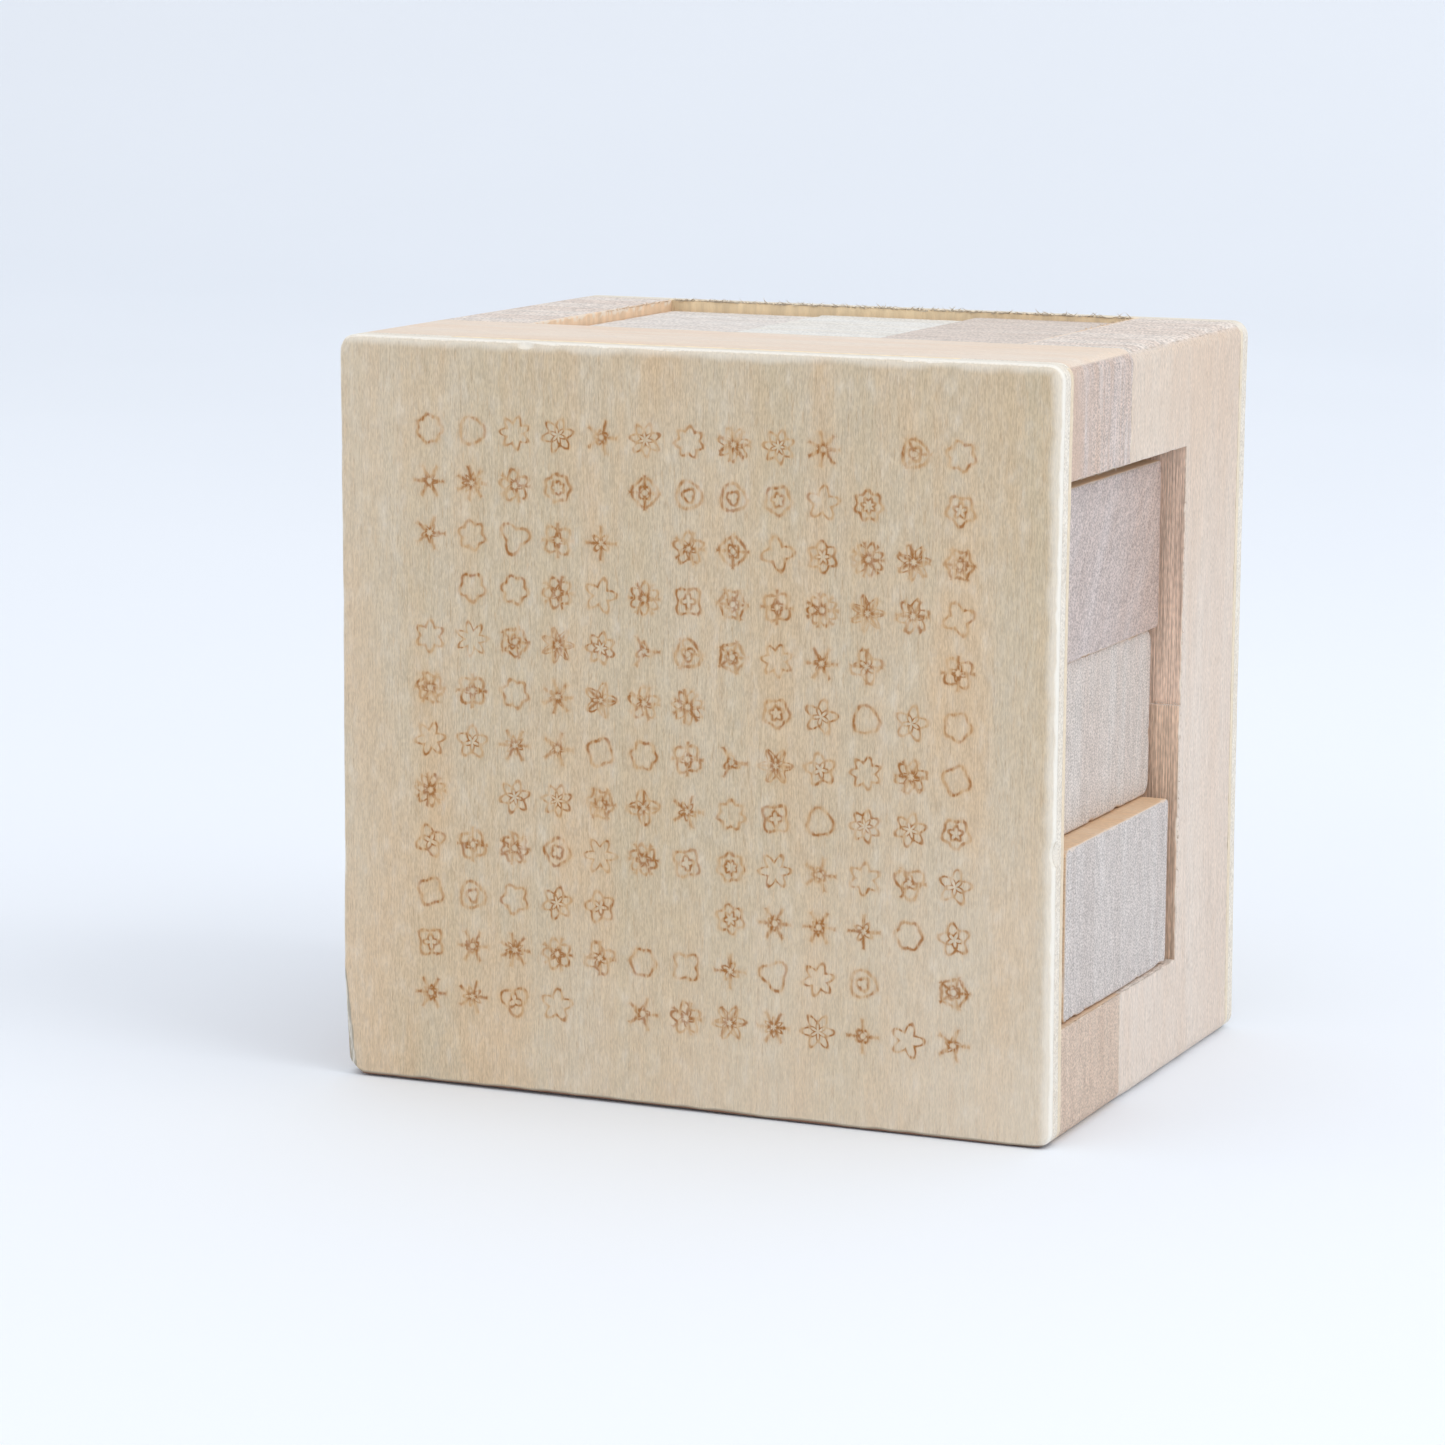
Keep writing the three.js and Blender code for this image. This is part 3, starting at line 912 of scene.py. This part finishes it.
def window_lining_and_shade(look, colour):
    """The faces that line a window are coarsely streaked where they are sawn, not sanded, and painted
    redder and darker for the shade and bounced light inside the window.
    """
    x, y, z = look.split(look.place)
    toward_front = look.step(look.split(look.facing)[Y], -0.8, -0.6, 1.0, 0.0)
    back_wall = look.times(toward_front, look.step(y, 8.0, 8.6))
    inner_wall = look.step(look.math("ABSOLUTE", x), 26.15, 26.6, 1.0, 0.0)
    lining = look.most(back_wall, inner_wall)
    lines = look.step(look.noise((7.5, 0.9, 0.12), 141, detail=0), 0.25, 0.75, 0.78, 1.18)
    breaks = look.step(look.noise((6.0, 0.9, 1.3), 145, detail=0), 0.25, 0.75, 0.86, 1.12)
    broad = look.step(look.noise((0.9, 0.5, 0.06), 143, detail=2), 0.35, 0.65, 0.93, 1.05)
    coarse = look.times(look.times(lines, breaks), broad)
    evened = look.ramp(coarse, 0.35, 0.65)
    coarse = look.ramp(look.minus(evened, coarse), inner_wall, coarse)
    upper_half = look.step(z, HEIGHT / 2 - 0.3, HEIGHT / 2)
    # painted shade: these lining tones are darker and redder than the board, for the shade and bounced
    # light in the window
    tone = look.mix(upper_half, (223, 196, 174), (229, 203, 184))
    tone = look.mix(inner_wall, tone, (236, 206, 174))
    return look.mix(lining, colour, look.shade(tone, coarse))


def amber_top(look, colour):
    """The upright faces of the boards are a little more amber toward the top."""
    drift = look.drift((0.08, 0.08, 0.05), 181, 12.0, detail=2)
    high = look.step(look.plus(look.split(look.place)[Z], drift), 44.0, 70.0)
    upright = look.step(look.squareness(Z), 0.5, 0.7, 1.0, 0.0)
    return look.mix(look.times(high, upright), colour, (252, 249, 244), blend="MULTIPLY")


def brown_back(look, colour):
    """A cross bar's end is browner toward the back, in ragged patches."""
    facing = look.step(look.squareness(X), 0.6, 0.9)
    drift = look.drift((0.3, 0.35, 0.12), 171, 7.0)
    back = look.step(look.plus(look.split(look.place)[Y], drift), -10.0, 6.0, 0.0, 0.75)
    browned = look.mix(1.0, colour, (248, 236, 226), blend="MULTIPLY")
    return look.mix(look.times(facing, back), colour, browned)


WALL_STEP = 0.25  # how far a board's wall steps back above half height


def side_boxes(side):
    """A side board as overlapping boxes: the back slab, its thicker lower half, and the two ends."""
    low, high = box_mm("right_side_board")
    boxes = [
        ((low[X], LAYER + WALL_STEP, low[Z]), high),
        ((low[X], LAYER, low[Z]), (high[X], high[Y], HEIGHT / 2)),
        (low, (high[X], high[Y], WINDOW_LOW)),
        ((low[X], low[Y], WINDOW_HIGH), high),
    ]
    if side < 0:
        boxes = [((-b[0], a[1], a[2]), (-a[0], b[1], b[2])) for a, b in boxes]
    return boxes


REST_GAP = 0.1  # between a bar and what it rests on
END_GAP = 0.2  # left at the end of a bar's play
HALF_LAP = 0.15  # how far a notch's floor stays short of the middle of its bar


def cross_bar_boxes(node, tongue):
    """A cross bar as overlapping boxes, with its notches read from its neighbours and its play."""
    low, high = box_mm(node)
    back, forth = joint_range_mm(f"{node}_play")
    floor = (low[Y] + high[Y]) / 2 - HALF_LAP
    # The notch moves with the bar: its left end meets the left upright when the bar goes right.
    notch_low = box_mm("left_upright")[0][X] - forth - END_GAP
    notch_high = box_mm("right_upright")[1][X] - back + END_GAP
    boxes = [
        (low, (high[X], floor, high[Z])),
        (low, (notch_low, high[Y], high[Z])),
        ((notch_high, low[Y], low[Z]), high),
    ]
    if tongue:
        tongue_low = box_mm("left_upright")[1][X] - back + END_GAP
        tongue_high = box_mm("right_upright")[0][X] - forth - END_GAP
        boxes.append(((tongue_low, low[Y], low[Z]), (tongue_high, high[Y], high[Z])))
    return boxes


def upright_boxes(node, rests_on):
    """An upright as overlapping boxes, with one notch from the key bar up to the bar it rests on."""
    low, high = box_mm(node)
    lift = joint_range_mm(f"{node}_lift")[1]
    floor = (low[Y] + high[Y]) / 2 + HALF_LAP
    notch_low = box_mm("key_bar")[0][Z] - lift - END_GAP
    notch_high = box_mm(rests_on)[1][Z] + REST_GAP
    return [
        ((low[X], floor, low[Z]), high),
        (low, (high[X], high[Y], notch_low)),
        ((low[X], low[Y], notch_high), high),
    ]


BAR_STEP = 0.6
END_ARRIS = 0.28


def bar(node, axis, boxes, material, seed, long_edge=1.0):
    """A loose bar: rounded long edges, crisp slightly nicked ends and sharp notches."""
    low, high = box_mm(node)
    points, quads = shell(boxes, BAR_STEP)
    points = round_section(points, axis, low, high, long_edge)
    flat = points.copy()
    for at_high in (False, True):
        radius = nicked(END_ARRIS, points, seed + at_high, often=0.58, growth=1.3)
        points = round_end(points, axis, low, high, long_edge, at_high, radius)
    wear_and_shade = worn_off(flat, points, 0.14)
    points = ripple(points, quads, 0.035, 0.12, seed + 5)
    add_piece(node, node, points, quads, wear_and_shade, material)


# Plates.
PLY_EDGE = dict(end=(234, 227, 215), end_dark=(226, 216, 201), pale=(236, 230, 219))
core_tones = dict(base=(234, 228, 216), tint=(229, 220, 205), warm=(230, 218, 200), **PLY_EDGE)
core_ply = wood("core_ply", X, core_tones, seed=3, ray=X, contrast=0.08, end_contrast=0.1)
inner_tones = dict(base=(234, 222, 202), tint=(230, 216, 192), warm=(230, 210, 182), **PLY_EDGE)
inner_ply = wood("inner_ply", Z, inner_tones, seed=5, ray=X, over=[unsanded])
front_face = veneer_face("front_birch_face", 1, 1.0, FRONT_FACE, marked=True)
back_face = veneer_face("back_birch_face", 2, -1.0, BACK_FACE, marked=False)

for side, at_front, seed, steps, face in (
    ("front", True, 101, (0.55, 0.9, 0.9), front_face),
    ("back", False, 131, (0.7, 0.9, 0.7), back_face),
):
    plies = (("face", face), ("core", core_ply), ("inner", inner_ply))
    for (ply, material), step in zip(plies, steps):
        plate_ply(f"{side}_{ply}_veneer", at_front, seed, step, material)

# Frame.
rail_tones = dict(
    base=(231, 217, 202), tint=(230, 213, 195), warm=(229, 202, 177), end=(202, 191, 187),
    end_dark=(202, 180, 165), pale=(240, 231, 217),
)
rail_wood = wood("rail_beech", X, rail_tones, seed=7, contrast=0.07, end_contrast=0.2, over=[warm_end])
low_rail_tones = dict(
    base=(226, 202, 178), tint=(220, 194, 168), warm=(218, 186, 154), end=(209, 189, 172),
    end_dark=(201, 178, 160), pale=(240, 226, 208),
)
low_rail_wood = wood("low_rail_beech", X, low_rail_tones, seed=8, contrast=0.09, end_contrast=0.13)
board_tones = dict(
    base=(222, 209, 197), tint=(219, 203, 189), warm=(220, 195, 173), end=(225, 215, 206),
    end_dark=(216, 200, 188), pale=(238, 227, 213),
)
board_wood = wood(
    "board_beech", Z, board_tones, seed=9, ray=X, contrast=0.14, blush=0.3, speck=1.5,
    over=[amber_top, window_lining_and_shade],
)

for node, material, seed in (("top_front_rail", rail_wood, 201), ("bottom_front_rail", low_rail_wood, 211)):
    fibres = rail_fibres(box_mm(node), seed)
    frame_block(node, [box_mm(node)], material, seed, 0.7, fibres)
for node, side, seed in (("left_side_board", -1, 221), ("right_side_board", 1, 231)):
    fibres = board_fibres(side, seed)
    frame_block(node, side_boxes(side), board_wood, seed, 0.6, fibres, tearing=1.0)

# Bars.
CROSS = dict(base=(226, 198, 168), tint=(220, 189, 157), warm=(230, 191, 150), pale=(228, 214, 202))
UPRIGHT = dict(base=(226, 204, 180), tint=(220, 196, 170), warm=(222, 190, 158), pale=(236, 228, 218))
PLAIN_END = dict(end_contrast=0.19)
SLANTED_END = dict(end_contrast=0.18, slant=32.0, over=[brown_back])
key_boxes = [box_mm("key_bar")]
middle_boxes = cross_bar_boxes("middle_bar", tongue=True)
upper_boxes = cross_bar_boxes("upper_bar", tongue=False)
for node, boxes, seed, long_edge, end, end_dark, grain_seed, figure in (
    ("key_bar", key_boxes, 301, 0.7, (206, 199, 195), (197, 188, 183), 13, PLAIN_END),
    ("middle_bar", middle_boxes, 311, 1.6, (207, 198, 191), (202, 189, 180), 15, PLAIN_END),
    ("upper_bar", upper_boxes, 321, 0.6, (197, 185, 181), (190, 174, 167), 17, SLANTED_END),
):
    tones = dict(end=end, end_dark=end_dark, **CROSS)
    material = wood(f"{node}_wood", X, tones, grain_seed, **figure)
    bar(node, X, boxes, material, seed, long_edge)
for node, rests_on, slot, seed, end, end_dark, grain_seed, end_contrast in (
    ("left_upright", "key_bar", "upright_wood", 331, (227, 221, 215), (219, 210, 202), 19, 0.12),
    ("middle_upright", "middle_bar", "upright_wood", 341, (231, 229, 224), (226, 221, 212), 21, 0.1),
    ("right_upright", "key_bar", "upright_wood_dark", 351, (217, 205, 195), (206, 190, 178), 23, 0.13),
):
    tones = dict(end=end, end_dark=end_dark, **UPRIGHT)
    material = wood(f"{node}_wood", Z, tones, grain_seed, ray=X, end_contrast=end_contrast, speck=1.5)
    bar(node, Z, upright_boxes(node, rests_on), material, seed)

# ---- studio ----


def stage_material(name, colour, roughness):
    look = Shading(name)
    cloud = look.noise((0.004, 0.004, 0.004), 7, detail=2)
    cloudy = look.shade(colour, look.step(cloud, 0.3, 0.7, 0.985, 1.0))
    look.join(look.surface.inputs["Base Color"], cloudy)
    look.surface.inputs["Roughness"].default_value = roughness
    return look.material


def backdrop():
    """A pale floor that sweeps up behind the box in one smooth curve."""
    half_wide, front, bend, radius, top = 2.5, -1.6, 0.9, 0.5, 2.0
    parts = 16
    profile = [(front, 0.0), (bend, 0.0)]
    for index in range(1, parts + 1):
        turn = math.pi / 2 * index / parts
        profile.append((bend + radius * math.sin(turn), radius * (1 - math.cos(turn))))
    profile.append((bend + radius, top))
    points = [(side * half_wide, y, z) for y, z in profile for side in (-1, 1)]
    faces = [(2 * i, 2 * i + 1, 2 * i + 3, 2 * i + 2) for i in range(len(profile) - 1)]
    mesh = bpy.data.meshes.new("studio_floor")
    mesh.from_pydata(points, [], faces)
    mesh.polygons.foreach_set("use_smooth", np.ones(len(faces), bool))
    mesh.materials.append(stage_material("studio_paper", (240, 245, 252), 0.75))
    floor = bpy.data.objects.new("studio_floor", mesh)
    scene.collection.objects.link(floor)
    floor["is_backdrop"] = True


LIT_POINT = Vector((0, 0, 0.035))


def area_light(name, place, size, power, colour):
    """A soft rectangular lamp that looks at the middle of the box."""
    light = bpy.data.lights.new(name, "AREA")
    light.shape = "RECTANGLE"
    light.size, light.size_y = size
    light.energy = power
    light.color = colour
    lamp = bpy.data.objects.new(name, light)
    lamp.location = place
    lamp.rotation_euler = (LIT_POINT - Vector(place)).to_track_quat("-Z", "Y").to_euler()
    scene.collection.objects.link(lamp)


backdrop()
area_light("key_light", (0.95, -0.15, 0.85), size=(0.8, 0.8), power=3.9, colour=(1.0, 0.99, 0.97))
area_light("front_fill", (-0.4, -1.4, 0.45), size=(1.2, 1.0), power=1.8, colour=(0.98, 0.99, 1.0))
area_light("over_light", (0.2, -0.2, 1.4), size=(1.4, 1.4), power=2.5, colour=(1.0, 1.0, 1.0))

world = bpy.data.worlds.new("studio_air")
world.use_nodes = True
background = world.node_tree.nodes["Background"]
background.inputs["Color"].default_value = (0.97, 0.98, 1.0, 1.0)
background.inputs["Strength"].default_value = 0.85
scene.world = world
scene.view_settings.view_transform = "Standard"

# ---- camera ----

CAMERA_PLACE = Vector((183.4, -449.4, 114.2)) * MM
CAMERA_YAW, CAMERA_DOWN, CAMERA_ROLL = 23.15, 9.39, 0.38
SENSOR, LENS = 36.0, 120.64

camera_data = bpy.data.cameras.new("camera")
camera_data.sensor_width = SENSOR
camera_data.lens = LENS
camera_data.clip_start = 0.01
camera = bpy.data.objects.new("camera", camera_data)
camera.location = CAMERA_PLACE
turn = Euler((math.radians(90 - CAMERA_DOWN), 0, math.radians(CAMERA_YAW)), "XYZ").to_matrix()
roll = Euler((0, 0, math.radians(CAMERA_ROLL)), "XYZ").to_matrix()
camera.rotation_euler = (turn @ roll).to_euler()
scene.collection.objects.link(camera)
scene.camera = camera

# ---- size ----

boxes = {"cad": cad_bounds, "visual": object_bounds()}
